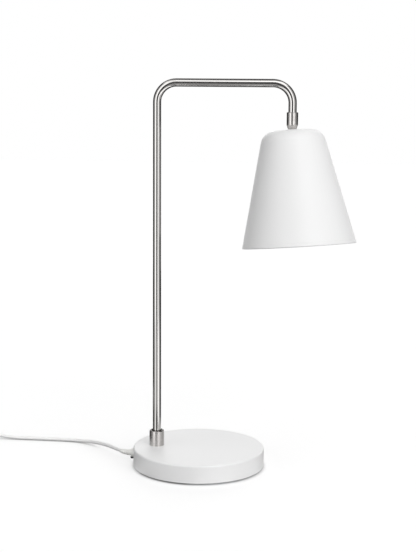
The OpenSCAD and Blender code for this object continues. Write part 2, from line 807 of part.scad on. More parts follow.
module holder_screws() {
    z = socket_floor_z + floor_t + terminal_h / 2;
    color("silver") at_head() for (s = [-1, 1])
        translate([s * terminal_x, 1.2, z]) rotate([-90, 0, 0]) difference() {
            union() {
                cylinder(r = 1.15, h = 3, $fn = 24);
                translate([0, 0, 1.4]) cylinder(r = 1.9, h = 1.4, $fn = 24);
            }
            translate([-2, -0.25, 2.4]) cube([4, 0.5, cut]);
        }
}

module head_cores() {
    end_z = socket_floor_z + floor_t + terminal_h - 2;
    span = stem_z - end_z;
    color("saddlebrown") at_head() for (s = [0, 180]) rotate([0, 0, s])
        swept_cord([[0, -1, 2.5], [0, -1, stem_z / 2], [0, -1, stem_z + 1], [0.5, -0.95, stem_z - 1],
                    [terminal_x * 0.45, -0.7, stem_z - span * 0.3],
                    [terminal_x * 0.85, -0.3, stem_z - span * 0.55],
                    [terminal_x, 0, end_z + 3], [terminal_x, 0, end_z]], core_r);
}

// ---- Cord ----

module cord_lead() { color("white") swept_cord(lead_route, cord_r); }
module cord_link() { color("white") swept_cord(link_route, cord_r); }
module cord_tail() { color("white") swept_cord(tail_route, cord_r); }

module cord_coil() {
    color("white") translate([coil_x, coil_y, coil_z]) rotate_extrude()
        translate([coil_in_r - cord_r, 0]) square([coil_out_r - coil_in_r + cord_d, 2 * cord_d]);
}

// Strap round the bundle of turns
module coil_tie() {
    strap_w = 9;
    strap_t = 0.8;
    slack = 0.3;
    start = sqrt(pow(coil_in_r - cord_r, 2) - pow(strap_w / 2, 2)) - slack;
    depth = coil_out_r + cord_r + slack - start;
    height = 2 * cord_d + 2 * slack;
    color("dimgray") translate([coil_x, coil_y, 0]) rotate([0, 0, 200])
        translate([start, -strap_w / 2, coil_z - slack]) difference() {
            translate([-strap_t, 0, -strap_t]) cube([depth + 2 * strap_t, strap_w, height + 2 * strap_t]);
            translate([0, -cut, 0]) cube([depth, strap_w + 2 * cut, height]);
        }
}

// ---- In-line switch ----

rocker_l = 19;
rocker_w = 9;
pivot_z = switch_h - 3.2;
pivot_r = 1;
rocker_rest = 7;
window_gap = 0.5;

// Outside of the closed switch: a stadium in plan with a rounded cross-section
module switch_form() {
    edge = 3.5;
    end_r = switch_w / 2;
    intersection() {
        linear_extrude(switch_h) {
            square([switch_l - switch_w, switch_w], center = true);
            for (s = [-1, 1]) translate([s * (switch_l / 2 - end_r), 0]) circle(end_r);
        }
        rotate([90, 0, 90]) translate([0, 0, -switch_l / 2]) linear_extrude(switch_l) {
            translate([-switch_w / 2, 1]) square([switch_w, switch_h - edge - 1]);
            translate([-switch_w / 2 + 1, 0]) square([switch_w - 2, switch_h - edge]);
            translate([-switch_w / 2 + edge, 0]) square([switch_w - 2 * edge, switch_h]);
            for (s = [-1, 1]) {
                translate([s * (switch_w / 2 - edge), switch_h - edge]) circle(edge);
                translate([s * (switch_w / 2 - 1), 1]) circle(1);
            }
        }
    }
}

module switch_entries() {
    for (s = [0, 180]) rotate([0, 0, s]) translate([switch_l / 2 - entry_depth, 0, entry_z])
        rotate([0, 90, 0]) cylinder(r = cord_r + fit_gap, h = entry_depth + cut);
}

module at_switch() { translate([switch_x, switch_y, 0]) children(); }

module switch_bottom() {
    color("white") at_switch() difference() {
        switch_form();
        translate([-switch_l, -switch_w, entry_z]) cube([2 * switch_l, 2 * switch_w, switch_h]);
        switch_entries();
        for (s = [-1, 1]) translate([s * (switch_l / 2 - 13), 0, -cut]) {
            cylinder(r = 2.6, h = 2 + cut);
            cylinder(r = 1.3 + fit_gap, h = switch_h);
        }
    }
}

module switch_top() {
    color("white") at_switch() difference() {
        switch_form();
        translate([-switch_l, -switch_w, -cut])
            cube([2 * switch_l, 2 * switch_w, entry_z + 0.1 + cut]);
        switch_entries();
        translate([-rocker_l / 2 - window_gap, -rocker_w / 2 - window_gap, 0])
            cube([rocker_l + 2 * window_gap, rocker_w + 2 * window_gap, switch_h + cut]);
        translate([0, 0, pivot_z]) rotate([90, 0, 0])
            cylinder(r = pivot_r + run_gap, h = rocker_w + 4, center = true, $fn = 32);
        for (s = [-1, 1]) translate([s * (switch_l / 2 - 13), 0, 0])
            cylinder(r = 1.3 + fit_gap, h = entry_z + 5);
    }
}

// Rocker: two faces that meet in a shallow V, and round trunnions at its pivot
module switch_rocker() {
    wing = rocker_l / 2 - 0.2;
    color("white") at_switch() translate([0, 0, pivot_z]) rotate([0, rocker_rest, 0]) {
        rotate([90, 0, 0]) linear_extrude(rocker_w, center = true)
            polygon([[-wing, 1], [-wing, 3.4], [-wing + 0.8, 4], [0, 3], [wing - 0.8, 4],
                     [wing, 3.4], [wing, 1], [3.5, -3.6], [-3.5, -3.6]]);
        rotate([90, 0, 0])
            cylinder(r = pivot_r, h = rocker_w + 3.6, center = true, $fn = 32);
    }
}

module switch_screws() {
    color("silver") at_switch() for (s = [-1, 1]) translate([s * (switch_l / 2 - 13), 0, 0])
        difference() {
            union() {
                translate([0, 0, 0.5]) cylinder(r = 2.4, h = 1.5);
                translate([0, 0, 1]) cylinder(r = 1.3, h = entry_z + 2.5);
            }
            for (turn = [0, 90]) rotate([0, 0, turn])
                translate([-1.6, -0.3, 0.5 - cut]) cube([3.2, 0.6, 0.7 + cut]);
        }
}

// ---- Plug ----

// Frame of the plug: origin at the tail end of its body, +X towards the pins
module at_plug() { translate([plug_x, plug_y, plug_z]) children(); }

module plug_body() {
    half = plug_w / 2;
    neck_half = 6;
    shoulder = 15;
    ribs = 5;
    color("white") at_plug() difference() {
        union() {
            intersection() {
                translate([0, 0, -plug_t]) linear_extrude(2 * plug_t) offset(r = 2, $fn = 24)
                    offset(delta = -2) polygon([[0, -neck_half], [shoulder, -half],
                        [plug_l, -half], [plug_l, half], [shoulder, half], [0, neck_half]]);
                rotate([90, 0, 0]) translate([0, 0, -plug_w]) linear_extrude(2 * plug_w)
                    offset(r = 2, $fn = 24) offset(delta = -2)
                        polygon([[0, -5], [shoulder - 3, -plug_t / 2], [plug_l, -plug_t / 2],
                                 [plug_l, plug_t / 2], [shoulder - 3, plug_t / 2], [0, 5]]);
            }
            // ribbed tail that thins towards the cord
            rotate([0, -90, 0]) rotate_extrude() difference() {
                polygon([[0, -2], [4.9, -2], [4.9, 0], [3.1, tail_l], [0, tail_l]]);
                for (k = [1 : ribs]) let(s = k * tail_l / (ribs + 0.7))
                    translate([4.9 - 1.8 * s / tail_l - 0.5, s]) square([2, 1.6]);
            }
        }
        translate([-tail_l - cut, 0, 0]) rotate([0, 90, 0])
            cylinder(r = cord_r + fit_gap, h = 7 + cut);
        both_sides() translate([plug_l - 8, pin_pitch / 2, 0]) rotate([0, 90, 0])
            cylinder(r = 2 + fit_gap, h = 8 + cut);
    }
}

// Round pins: thin under their sleeves, full at the tips
module plug_pins() {
    sleeve_l = 10;
    color("silver") at_plug() both_sides() translate([plug_l, pin_pitch / 2, 0]) rotate([0, 90, 0]) {
        translate([0, 0, -8]) cylinder(r = 2, h = 8);
        cylinder(r = 1.4, h = sleeve_l);
        translate([0, 0, sleeve_l]) cylinder(r = 2, h = pin_l - sleeve_l - 2);
        translate([0, 0, pin_l - 2]) sphere(r = 2);
    }
}

module pin_sleeves() {
    color("dimgray") at_plug() both_sides() translate([plug_l, pin_pitch / 2, 0])
        rotate([0, 90, 0]) ring(1.9, 1.4 + 0.02, 9.98);
}

base_cover();
base_weight();
weight_nuts();
bottom_plate();
plate_screws();
foot_pad();
pole_collar();
collar_nut();
strain_relief();
cord_clamp();
clamp_bar();
clamp_screws();
base_lead();
base_cores();
wire_caps();
lamp_tube();
foot_nipple();
wave_washer();
tab_washer();
foot_nut();
tube_cable();
drop_cores();
end_nipple();
swivel_nut();
swivel_washer();
swivel_cup();
swivel_hub();
ball_seat();
seat_spring();
ball_stem();
shade();
shade_washer();
shade_nut();
holder_cap();
holder_barrel();
holder_contacts();
holder_screws();
head_cores();
cord_lead();
cord_link();
cord_tail();
cord_coil();
coil_tie();
switch_bottom();
switch_top();
switch_rocker();
switch_screws();
plug_body();
plug_pins();
pin_sleeves();
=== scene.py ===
# %% [markdown]
# # A desk lamp, from its engineering model to a finished render
# The lamp has a round weighted base, one bent steel tube that swings in a collar, and a spun
# cone on a ball joint. Its pieces come from the engineering model, already in place and at their
# real size. They could be drawn again here, but then nothing would keep them true to the parts
# that fit together, so this file only loads them, gives each its finish, and adds the soft cord
# and the fine details. Everything is in metres.

# %% Load the lamp
import json
import math

import bpy
from mathutils import Euler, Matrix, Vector


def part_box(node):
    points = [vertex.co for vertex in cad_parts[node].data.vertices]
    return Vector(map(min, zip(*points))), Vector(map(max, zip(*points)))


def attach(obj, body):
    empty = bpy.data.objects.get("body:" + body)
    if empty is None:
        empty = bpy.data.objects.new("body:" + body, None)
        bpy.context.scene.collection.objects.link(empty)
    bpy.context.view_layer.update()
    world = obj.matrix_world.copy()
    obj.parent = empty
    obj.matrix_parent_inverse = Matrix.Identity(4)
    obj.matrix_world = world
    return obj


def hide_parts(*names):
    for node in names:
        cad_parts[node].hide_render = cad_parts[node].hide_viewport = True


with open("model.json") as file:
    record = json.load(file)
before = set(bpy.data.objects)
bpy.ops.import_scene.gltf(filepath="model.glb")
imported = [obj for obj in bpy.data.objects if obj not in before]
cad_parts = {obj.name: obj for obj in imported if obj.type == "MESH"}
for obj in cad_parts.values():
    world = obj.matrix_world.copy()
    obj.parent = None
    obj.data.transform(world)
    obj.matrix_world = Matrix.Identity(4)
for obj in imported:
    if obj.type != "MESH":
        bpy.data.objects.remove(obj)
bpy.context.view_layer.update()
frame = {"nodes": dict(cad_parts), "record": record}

MM = 0.001  # a millimetre, in metres

# %% [markdown]
# ## The camera
# A product is usually shown from a little above the table through a long lens, so that upright
# lines stay nearly parallel. The lens could be shifted to frame the lamp, but a shift follows the
# camera into every other view, so this one is only turned: a little to the left, and down.

# %% Camera
SENSOR_MM = 36
LENS_MM = 80.1
CAMERA_PLACE = (0.1817, -1.4483, 0.4617)
TURN_LEFT = math.radians(6.76)
LOOK_DOWN = math.radians(8.82)
ROLL = math.radians(0.42)

camera_data = bpy.data.cameras.new("product_camera")
camera_data.sensor_width = SENSOR_MM
camera_data.lens = LENS_MM
camera = bpy.data.objects.new("product_camera", camera_data)
camera.location = CAMERA_PLACE
turn = Euler((0, 0, TURN_LEFT)).to_matrix()
tilt = Euler((math.radians(90) - LOOK_DOWN, 0, 0)).to_matrix()
roll = Euler((0, 0, ROLL)).to_matrix()
camera.rotation_euler = (turn @ tilt @ roll).to_euler()
bpy.context.scene.collection.objects.link(camera)
bpy.context.scene.camera = camera
print("camera distance from the base:", round(camera.location.length, 3), "m")

# %% [markdown]
# ## The mains cord
# The cord is 1.8 m of round two-core cable, 4.6 mm thick. It leaves the base through a curved
# strain relief, sinks to the table in an easy slope and runs to an in-line switch. The rest is
# wound into a neat coil and ends in its plug. A cord can be simulated, but one that lies still on
# a table is quicker to lay as given: a curve through a list of points, with a thickness.

# %% The cord's route
CORD_D = 4.6 * MM
EXIT = (-97.4, 5.6, 12)
LEAD_ROUTE = [
    EXIT, (-100.3, 8.5, 12), (-104.5, 13.6, 11.5), (-109.5, 20.2, 10.9), (-115, 27.6, 10.1),
    (-121, 35.3, 9.2), (-127.5, 43, 8.1), (-134.5, 50.6, 6.9), (-142.2, 58, 5.6),
    (-150, 64.3, 4.4), (-158, 69, 3.4), (-166, 72.2, 2.7), (-175, 74.2, 2.4), (-184, 75, 2.3),
    (-196, 75.2, 2.3), (-209, 75.2, 2.3), (-222, 75.2, 2.3), (-235, 75.1, 2.3), (-248, 75, 2.4),
    (-260, 75, 3), (-270, 75, 4.2), (-279, 75, 5.7), (-288, 75, 6.5), (-295, 75, 6.5)]
SWITCH_MIDDLE = (-318, 75, 6.5)
LINK_ROUTE = [
    (-341, 75, 6.5), (-348, 75, 6.5), (-356, 75, 5.7), (-364, 75, 4.5), (-372, 75, 3.7),
    (-380, 75, 3.4)]
TAIL_ROUTE = [(-376, 2, 7.9), (-367, 2, 7.2), (-358, 2, 6.85), (-351, 2, 6.85)]
print("from the base to the switch:", round(-LEAD_ROUTE[-1][0] + EXIT[0]), "mm to the left")

# %% [markdown]
# ## The coil
# A long cord comes wound up and held by a tie. The engineering model only has a plain ring there,
# and here the coil gets its real turns. They lie in two layers, inward below and outward above,
# so that both ends come out on the outer side. A screw modifier winds one even spiral, but not
# two that join, so each point is worked out: its radius shrinks and grows again as it goes round,
# and it climbs to the upper layer half-way.

# %% The coil's turns
COIL_CENTRE = (-386, 38.5)
COIL_IN, COIL_OUT = 16.5, 36.5
COIL_LOW, COIL_HIGH = 3.4, 8.0
COIL_START = math.radians(90)
COIL_TURNS = 8.5
POINTS_PER_TURN = 16
CLIMB_FROM, CLIMB_FOR = 0.47, 0.06  # shares of the whole coil


def coil_route():
    """Points of the two-layer coil: it starts and ends on its outer turn."""
    count = round(COIL_TURNS * POINTS_PER_TURN)
    points = []
    for i in range(count + 1):
        share = i / count
        inward = 1 - abs(2 * share - 1)
        radius = COIL_OUT - (COIL_OUT - COIL_IN) * inward
        climb = min(max((share - CLIMB_FROM) / CLIMB_FOR, 0), 1)
        angle = COIL_START + 2 * math.pi * COIL_TURNS * share
        points.append((COIL_CENTRE[0] + radius * math.cos(angle),
                       COIL_CENTRE[1] + radius * math.sin(angle),
                       COIL_LOW + (COIL_HIGH - COIL_LOW) * climb))
    return points


cord_route = LEAD_ROUTE + [SWITCH_MIDDLE] + LINK_ROUTE + coil_route() + TAIL_ROUTE
cord_length = sum(math.dist(a, b) for a, b in zip(cord_route, cord_route[1:])) * MM
print("cord route:", len(cord_route), "points,", round(cord_length, 3), "m")

# %% [markdown]
# ## Lay the cord
# A mesh could be swept along the route, but a curve object does that by itself: it passes
# smoothly through the points, and its bevel gives it a round section. The bevel is 1 m deep and
# each point's radius scales it down to the cord's, because the size of a curve is measured with
# that radius. This one curve takes the place of the four plain cord pieces of the model.

# %% Lay the cord
SECTION_STEPS = 3
STEPS_BETWEEN_POINTS = 5


def round_cord(name, route_mm, diameter):
    """A round cord along points in millimetres, as one smooth curve."""
    curve = bpy.data.curves.new(name, "CURVE")
    curve.dimensions = "3D"
    curve.bevel_depth = 1.0
    curve.bevel_resolution = SECTION_STEPS
    curve.resolution_u = STEPS_BETWEEN_POINTS
    curve.use_fill_caps = True
    spline = curve.splines.new("BEZIER")
    spline.bezier_points.add(len(route_mm) - 1)
    for point, place in zip(spline.bezier_points, route_mm):
        point.co = Vector(place) * MM
        point.radius = diameter / 2
        point.handle_left_type = "AUTO"
        point.handle_right_type = "AUTO"
    cord = bpy.data.objects.new(name, curve)
    bpy.context.scene.collection.objects.link(cord)
    return cord


mains_cord = round_cord("mains_cord", cord_route, CORD_D)
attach(mains_cord, "base")
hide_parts("cord_lead", "cord_link", "cord_tail", "cord_coil")
print("cord laid:", mains_cord.name, "at", round(CORD_D / MM, 2), "mm across")

# %% [markdown]
# ## Tools for finishes
# A shader works with linear light, and a colour chart gives sRGB, so one function converts by
# the curve of the sRGB standard. Every finish is a small tree of nodes. Written out, each node
# takes several lines, so one function adds a node, sets it up and links it.

# %% Colour and node helpers
def linear(code):
    """Linear RGBA for an sRGB hex colour."""
    channels = [int(code[i:i + 2], 16) / 255 for i in (0, 2, 4)]
    return [c / 12.92 if c <= 0.04045 else ((c + 0.055) / 1.055) ** 2.4 for c in channels] + [1]


def add_node(tree, kind, inputs=None, **settings):
    """Adds a node. An input is a value, or another node's output socket to link."""
    node = tree.nodes.new(kind)
    for name, value in settings.items():
        setattr(node, name, value)
    for key, value in (inputs or {}).items():
        if isinstance(value, bpy.types.NodeSocket):
            tree.links.new(value, node.inputs[key])
        else:
            node.inputs[key].default_value = value
    return node


def new_finish(name, color, roughness, metallic=0.0, ior=1.5):
    """A material with its plain values set on the shader's own sockets."""
    material = bpy.data.materials.new(name)
    material.use_nodes = True
    tree = material.node_tree
    shader = tree.nodes["Principled BSDF"]
    shader.inputs["Base Color"].default_value = linear(color)
    shader.inputs["Roughness"].default_value = roughness
    shader.inputs["Metallic"].default_value = metallic
    shader.inputs["IOR"].default_value = ior
    return material, tree, shader


print("middle grey, 808080, as linear light:", round(linear("808080")[0], 3))

# %% [markdown]
# ## Uneven on purpose
# No real surface is quite flat or quite even, and a perfectly even one looks like a drawing. An
# image texture could bring that in, but noise has a real size in millimetres, no seams, and
# stays sharp from near. The same noise raises the surface a little, and makes its bumps a little
# more or less rough, as wear and grain do. Where it also makes the low spots of the bumps a little
# darker, that is painted shade.

# %% Surface texture
NOISE_LOW, NOISE_HIGH = 0.3, 0.7  # nearly all of a noise lies between these


def raise_surface(tree, shader, height, depth_mm):
    """Raises the surface by a 0 to 1 pattern."""
    relief = add_node(tree, "ShaderNodeBump", {
        "Height": height, "Distance": depth_mm * MM, "Strength": 1.0})
    tree.links.new(relief.outputs["Normal"], shader.inputs["Normal"])


def texture_relief(tree, shader, size_mm, depth_mm, detail=2.0):
    """Raises the surface by noise with bumps of a real size. Returns the noise's height."""
    place = add_node(tree, "ShaderNodeTexCoord")
    noise = add_node(tree, "ShaderNodeTexNoise", {
        "Vector": place.outputs["Object"], "Scale": 1 / (size_mm * MM), "Detail": detail})
    raise_surface(tree, shader, noise.outputs["Fac"], depth_mm)
    return noise.outputs["Fac"]


def vary_roughness(tree, shader, pattern, less, more):
    """Lets the roughness go below and above its plain value with a 0 to 1 pattern."""
    middle = shader.inputs["Roughness"].default_value
    spread = add_node(tree, "ShaderNodeMapRange", {
        "Value": pattern, "From Min": NOISE_LOW, "From Max": NOISE_HIGH,
        "To Min": middle - less, "To Max": middle + more})
    tree.links.new(spread.outputs["Result"], shader.inputs["Roughness"])


def blend_colors(tree, shader, pattern, first, second):
    """Mixes two sRGB colours by a 0 to 1 pattern into the base colour."""
    mix = add_node(tree, "ShaderNodeMix", {
        "Factor": pattern, "A": linear(first), "B": linear(second)}, data_type="RGBA")
    tree.links.new(mix.outputs["Result"], shader.inputs["Base Color"])


print("noise is read from", NOISE_LOW, "to", NOISE_HIGH)

# %% [markdown]
# ## White powder coat
# The base and the shade are steel, sprayed with dry polyester powder and baked. The powder melts
# and flows, but not quite flat: it keeps a shallow orange-peel skin with bumps about 1.5 mm
# across. To the eye that gives a soft, slightly uneven satin sheen and no sharp reflections. The
# relief is only a few hundredths of a millimetre deep, so it is a bump and not real geometry. The
# base and the shade get a coat each, so that one can be given another colour without the other.

# %% Powder coat
PEEL_MM = 1.5
PEEL_DEPTH_MM = 0.02


def powder_coat(name, color, shadow_color):
    """Satin baked powder with its orange peel."""
    material, tree, shader = new_finish(name, color, roughness=0.42)
    peel = texture_relief(tree, shader, PEEL_MM, PEEL_DEPTH_MM)
    vary_roughness(tree, shader, peel, less=0.04, more=0.06)
    # painted shade: the low spots of the peel get the slightly darker shadow colour
    blend_colors(tree, shader, peel, shadow_color, color)
    return material


base_coat = powder_coat("white_powder_coat_base", "f2f2f2", "f0f0f0")
shade_coat = powder_coat("white_powder_coat_shade", "f2f2f2", "f0f0f0")
print("powder coats:", base_coat.name, shade_coat.name)

# %% [markdown]
# ## Which way the tube runs
# Brushing makes a metal's gloss longer one way than the other, and the shader has to know which
# way. On a straight piece one direction will do, but the tube is bent at both ends of its arm. It
# could be unwrapped and the direction taken from that, but it is simpler to work it out: at each
# place, the line from the nearest bend's centre, turned by a right angle, gives the way the tube
# runs.

# %% The way along the tube
TUBE_D = 10 * MM
BEND_R = 23 * MM


def along_bent_tube(tree, place, first_x, last_x, height):
    """The way a tube runs that rises, bends, runs along +X, bends and drops."""
    axes = add_node(tree, "ShaderNodeSeparateXYZ", {"Vector": place})
    nearest_x = add_node(tree, "ShaderNodeClamp", {
        "Value": axes.outputs["X"], "Min": first_x, "Max": last_x})
    nearest_z = add_node(tree, "ShaderNodeMath", {
        0: axes.outputs["Z"], 1: height}, operation="MINIMUM")
    out_x = add_node(tree, "ShaderNodeMath", {
        0: axes.outputs["X"], 1: nearest_x.outputs["Result"]}, operation="SUBTRACT")
    out_z = add_node(tree, "ShaderNodeMath", {
        0: nearest_z.outputs["Value"], 1: axes.outputs["Z"]}, operation="SUBTRACT")
    along = add_node(tree, "ShaderNodeCombineXYZ", {
        "X": out_z.outputs["Value"], "Z": out_x.outputs["Value"]})
    return along.outputs["Vector"]


tube_low, tube_high = (Vector(corner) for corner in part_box("lamp_tube"))
first_bend_x = tube_low.x + TUBE_D / 2 + BEND_R
last_bend_x = tube_high.x - TUBE_D / 2 - BEND_R
bend_z = tube_high.z - TUBE_D / 2 - BEND_R
print("bend centres:", round(first_bend_x, 4), round(last_bend_x, 4), "at height", round(bend_z, 4))

# %% [markdown]
# ## Brushed stainless steel
# The tube is ground by a belt that runs round it, and the collar and the swivel cup are turned on
# a lathe, so their scratches are hoops. Hoops spread a reflection along the tube but hardly
# across it, which keeps the crisp upright bands of light and dark that tell the eye "metal". So
# the roughness is anisotropic. The fine belt leaves the tube nearly bright, and the lathe's
# coarser marks smear the reflections on the collar and the cup much further up and down. Real
# scratches are far finer than a view of the whole lamp can show, so these are about half a
# millimetre apart. They could be a bump, but that only adds grain at this size, so they change
# the roughness.

# %% Brushed steel
def brushed_steel(name, color, roughness, anisotropy, hoop_mm, bends=None):
    """Steel scratched round its length, which is upright unless bends are given."""
    material, tree, shader = new_finish(name, color, roughness, metallic=1.0)
    shader.inputs["Anisotropic"].default_value = anisotropy
    place = add_node(tree, "ShaderNodeTexCoord").outputs["Object"]
    if bends:
        length_way = along_bent_tube(tree, place, *bends)
    else:
        length_way = add_node(tree, "ShaderNodeCombineXYZ", {"Z": 1.0}).outputs["Vector"]
    in_world = add_node(tree, "ShaderNodeVectorTransform", {"Vector": length_way},
                        vector_type="VECTOR", convert_from="OBJECT", convert_to="WORLD")
    tree.links.new(in_world.outputs["Vector"], shader.inputs["Tangent"])
    unit = add_node(tree, "ShaderNodeVectorMath", {0: length_way}, operation="NORMALIZE")
    run = add_node(tree, "ShaderNodeVectorMath", {
        0: place, 1: unit.outputs["Vector"]}, operation="DOT_PRODUCT")
    hoops = add_node(tree, "ShaderNodeCombineXYZ", {"X": run.outputs["Value"]})
    scratches = add_node(tree, "ShaderNodeTexNoise", {
        "Vector": hoops.outputs["Vector"], "Scale": 1 / (hoop_mm * MM), "Detail": 2.0})
    vary_roughness(tree, shader, scratches.outputs["Fac"], less=0.015, more=0.02)
    return material


tube_steel = brushed_steel("belt_brushed_stainless", "c9c7c5", 0.10, 0.8, hoop_mm=0.6,
                           bends=(first_bend_x, last_bend_x, bend_z))
turned_steel = brushed_steel("lathe_turned_stainless", "c9c6c4", 0.25, 0.95, hoop_mm=0.5)
print("brushed steels:", tube_steel.name, turned_steel.name)

# %% [markdown]
# ## Small metal parts
# Nuts, washers and screws are steel with bright zinc plating, which gives a dull silvery skin.
# The ball is polished steel with small sharp highlights. The weight is cast iron, dark, matt and
# grainy from its sand mould. Contacts and nipples are pressed brass, warm and softly bright, and
# the plug's pins are plated with bright nickel. Each could have a tree of its own, but they
# differ only in colour, roughness and grain, so one function makes them all. Only the iron's
# grain is really as wide as here; the others' is too fine to show, so it is drawn about a
# millimetre wide and very shallow. Metals keep the default IOR.

# %% Small metals
def plain_metal(name, color, roughness, grain_mm, depth_mm):
    """Bare or plated metal with a fine grain."""
    material, tree, shader = new_finish(name, color, roughness, metallic=1.0)
    grain = texture_relief(tree, shader, grain_mm, depth_mm)
    vary_roughness(tree, shader, grain, less=0.06, more=0.08)
    return material


zinc_plate = plain_metal("bright_zinc_plate", "c4c5c3", 0.34, grain_mm=0.8, depth_mm=0.005)
polished_ball = plain_metal("polished_ball_steel", "cdcbc7", 0.12, grain_mm=1.5, depth_mm=0.001)
cast_iron = plain_metal("sand_cast_iron", "4a4a4c", 0.7, grain_mm=0.9, depth_mm=0.12)
brass = plain_metal("pressed_brass", "c9a35c", 0.3, grain_mm=0.8, depth_mm=0.004)
nickel = plain_metal("bright_nickel_plate", "d2cfc8", 0.16, grain_mm=1.0, depth_mm=0.002)
print("metals:", zinc_plate.name, polished_ball.name, cast_iron.name, brass.name, nickel.name)

# %% [markdown]
# ## Galvanised sheet
# The bottom plate is pressed from hot-dip galvanised sheet. As the zinc on it freezes, it grows
# crystals that each lean another way, so the eye sees a patchwork of slightly different greys,
# called spangle. Noise would give clouds without edges. A Voronoi texture makes real patches,
# here 4 mm wide: each has a colour of its own, one channel of which picks the grey and another
# the gloss.

# %% Galvanised sheet
def galvanised_sheet(name, color, patch_color, patch_mm):
    """Zinc with spangle."""
    material, tree, shader = new_finish(name, color, roughness=0.45, metallic=1.0)
    place = add_node(tree, "ShaderNodeTexCoord")
    spangle = add_node(tree, "ShaderNodeTexVoronoi", {
        "Vector": place.outputs["Object"], "Scale": 1 / (patch_mm * MM)})
    patches = add_node(tree, "ShaderNodeSeparateXYZ", {"Vector": spangle.outputs["Color"]})
    blend_colors(tree, shader, patches.outputs["X"], color, patch_color)
    vary_roughness(tree, shader, patches.outputs["Y"], less=0.07, more=0.07)
    return material


sheet = galvanised_sheet("galvanised_sheet", "a4a7aa", "b6b9bb", patch_mm=4.0)
print("sheet:", sheet.name)

# %% [markdown]
# ## Moulded plastics
# The switch, plug and lampholder are moulded in ABS, the strain relief in soft PVC, and the
# clamps and the ball's seat in nylon. The walls of such moulds are etched by sparks, so the parts
# come out with a very fine even grain and a satin look, a little duller on the soft PVC. The
# grain could be left out, but then a white part has one hard highlight and looks like glass. It
# is really about a tenth of a millimetre, and it is drawn at about a third to show at all.

# %% Moulded plastics
def moulded_plastic(name, color, roughness, grain_mm=0.35, depth_mm=0.012):
    """Plastic with the grain of a spark-etched mould."""
    material, tree, shader = new_finish(name, color, roughness, ior=1.53)
    grain = texture_relief(tree, shader, grain_mm, depth_mm)
    vary_roughness(tree, shader, grain, less=0.05, more=0.06)
    return material


white_abs = moulded_plastic("white_abs", "efefec", 0.42)
white_sleeve = moulded_plastic("white_soft_pvc", "f4f4f1", 0.5, grain_mm=0.5)
ivory_nylon = moulded_plastic("ivory_nylon", "ddd7c6", 0.4)
black_nylon = moulded_plastic("black_nylon", "1d1d1f", 0.5)
print("plastics:", white_abs.name, white_sleeve.name, ivory_nylon.name, black_nylon.name)

# %% [markdown]
# ## Drawn PVC
# The sheath of the cord and the skins of its cores are soft PVC, drawn through a round die. It
# comes out smooth, with a slow ripple along it where the cores turn round each other. Soft PVC
# lets light in: it wanders a few millimetres and comes out again, so the cord has no dark side
# and its edge looks milky. A paler colour alone would not do that, so the shader scatters light
# below the surface.

# %% Drawn PVC
SHEATH_GLOW = 0.7
SHEATH_GLOW_MM = 3


def drawn_pvc(name, color, ripple_mm):
    """Soft smooth PVC that lets light in."""
    material, tree, shader = new_finish(name, color, roughness=0.38, ior=1.53)
    ripple = texture_relief(tree, shader, ripple_mm, depth_mm=0.04, detail=1.0)
    vary_roughness(tree, shader, ripple, less=0.04, more=0.06)
    shader.inputs["Subsurface Weight"].default_value = SHEATH_GLOW
    shader.inputs["Subsurface Radius"].default_value = (1, 1, 1)
    shader.inputs["Subsurface Scale"].default_value = SHEATH_GLOW_MM * MM
    return material


cord_pvc = drawn_pvc("white_drawn_pvc", "fafaf8", ripple_mm=7)
core_pvc = drawn_pvc("brown_drawn_pvc", "5a3a22", ripple_mm=5)
print("sheath and cores:", cord_pvc.name, core_pvc.name)

# %% [markdown]
# ## Woven strap
# The tie round the coil is woven nylon strap. Its weft makes ribs across it, 0.8 mm apart, and
# the loops on it make a fuzz that swallows light, so the eye sees a matt black with no gloss. The
# threads could be modelled, but on a strap this small a wave with some noise on it is enough.

# %% Woven strap
WAVE_STEP = 20  # a wave texture of scale 1 turns 20 radians in a metre
FUZZ_PER_RIB = 2


def woven_strap(name, color, rib_mm):
    """Nylon strap: ribs across it, and the fuzz of its loops."""
    material, tree, shader = new_finish(name, color, roughness=0.85, ior=1.53)
    place = add_node(tree, "ShaderNodeTexCoord").outputs["Object"]
    ribs = add_node(tree, "ShaderNodeTexWave", {
        "Vector": place, "Scale": 2 * math.pi / WAVE_STEP / (rib_mm * MM), "Distortion": 2.0})
    fuzz = add_node(tree, "ShaderNodeTexNoise", {
        "Vector": place, "Scale": FUZZ_PER_RIB / (rib_mm * MM)})
    weave = add_node(tree, "ShaderNodeMath", {
        0: ribs.outputs["Fac"], 1: fuzz.outputs["Fac"]}, operation="ADD")
    raise_surface(tree, shader, weave.outputs["Value"], depth_mm=0.1)
    return material


strap_nylon = woven_strap("black_woven_nylon", "222225", rib_mm=0.8)
print("strap:", strap_nylon.name)

# %% [markdown]
# ## Foam
# The pad under the base is cut from a sheet of EVA foam. The knife opens its cells, which are
# about 0.7 mm wide, so the cut face is full of tiny pits and wholly matt. A noise has no cells,
# but the distance from a Voronoi texture's points makes one round pit for each, deep, with its
# bottom painted darker as painted shade.

# %% Foam
def cut_foam(name, color, pit_shade_color, cell_mm):
    """Foam with its cells cut open."""
    material, tree, shader = new_finish(name, color, roughness=0.92)
    place = add_node(tree, "ShaderNodeTexCoord")
    cells = add_node(tree, "ShaderNodeTexVoronoi", {
        "Vector": place.outputs["Object"], "Scale": 1 / (cell_mm * MM)})
    # painted shade: the bottom of each pit gets the darker colour
    blend_colors(tree, shader, cells.outputs["Distance"], pit_shade_color, color)
    raise_surface(tree, shader, cells.outputs["Distance"], depth_mm=0.15)
    return material


foam = cut_foam("black_eva_foam", "2c2c2e", "17171a", cell_mm=0.7)
print("foam:", foam.name)

# %% [markdown]
# ## Put each finish on its pieces
# Every piece of the lamp gets the finish of the real one, hidden pieces too, because someone may
# take the model apart. A table of names is easier to check than code spread over the file.

